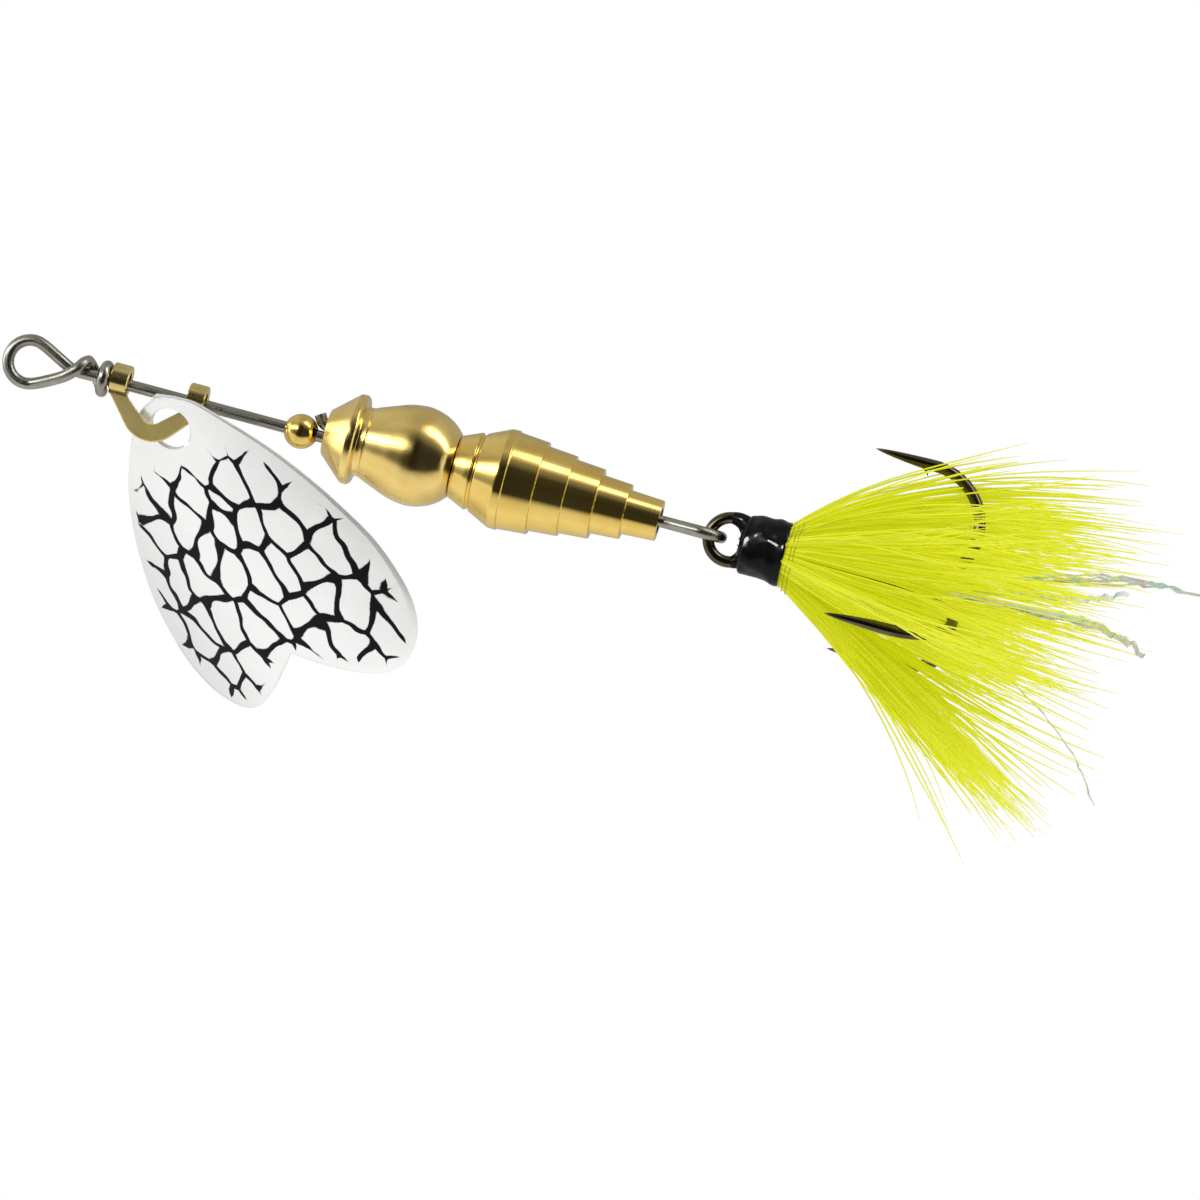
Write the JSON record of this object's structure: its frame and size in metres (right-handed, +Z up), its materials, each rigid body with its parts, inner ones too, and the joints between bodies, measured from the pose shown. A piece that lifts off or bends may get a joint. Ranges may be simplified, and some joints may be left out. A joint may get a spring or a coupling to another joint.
{
  "type": "inline spinner",
  "caption": "Fishing lure on a wire shaft: a domed, lobed blade revolves on a clevis ahead of a turned brass body and a treble hook dressed with hair.",
  "frame": {"origin": "centre of the wire line eye that the lure is tied on by", "axes": "+Z up the shaft towards the line, the tail hangs at -Z; the blade's face looks to -Y; one hook of the treble points to +X"},
  "size_m": [0.0299, 0.028, 0.0798],
  "materials": {
    "steel_wire": "bright drawn stainless wire",
    "stamped_brass": "stamped brass strip, slightly dulled",
    "silver_plate": "polished silver plate with a black printed net and a bare brass edge",
    "bead_brass": "polished brass bead",
    "turned_brass": "bright turned brass with fine tool marks",
    "bronzed_steel": "dark bronze lacquer on steel",
    "black_thread": "black tying thread under glossy lacquer",
    "chartreuse_hair": "fluorescent dyed hair",
    "pearl_tinsel": "iridescent pearl film"
  },
  "bodies": {
    "shaft": {"shaft_wire": "steel_wire"},
    "clevis": {"clevis": "stamped_brass"},
    "blade": {"blade": "silver_plate"},
    "bead": {"bead": "bead_brass"},
    "front_body": {"front_body": "turned_brass"},
    "rear_body": {"rear_body": "turned_brass"},
    "treble": {"hook_pair": "bronzed_steel", "hook_third": "bronzed_steel", "thread_head": "black_thread", "hair_far": "chartreuse_hair", "hair_lower": "chartreuse_hair", "hair_near": "chartreuse_hair", "tinsel_upper": "pearl_tinsel", "tinsel_middle": "pearl_tinsel", "tinsel_lower": "pearl_tinsel", "tinsel_far": "pearl_tinsel"}
  },
  "joints": [
    {"name": "clevis_spin", "type": "hinge", "parent": "shaft", "child": "clevis", "pos_m": [0, 0, -0.00833], "axis": [0, 0, 1], "continuous": true},
    {"name": "blade_swing", "type": "hinge", "parent": "clevis", "child": "blade", "pos_m": [-0.00119, -0.00015, -0.00833], "axis": [0, 1, 0], "range_deg": [0, 60]},
    {"name": "bead_spin", "type": "hinge", "parent": "shaft", "child": "bead", "pos_m": [0, 0, -0.0182], "axis": [0, 0, 1], "continuous": true},
    {"name": "front_body_spin", "type": "hinge", "parent": "shaft", "child": "front_body", "pos_m": [0.00041, 0, -0.01987], "axis": [0, 0, 1], "continuous": true},
    {"name": "rear_body_spin", "type": "hinge", "parent": "shaft", "child": "rear_body", "pos_m": [0.00041, 0, -0.02869], "axis": [0, 0, 1], "continuous": true},
    {"name": "treble_swing", "type": "hinge", "parent": "shaft", "child": "treble", "pos_m": [0.00041, 0, -0.04685], "axis": [0, 1, 0], "range_deg": [-90, 90]}
  ]
}
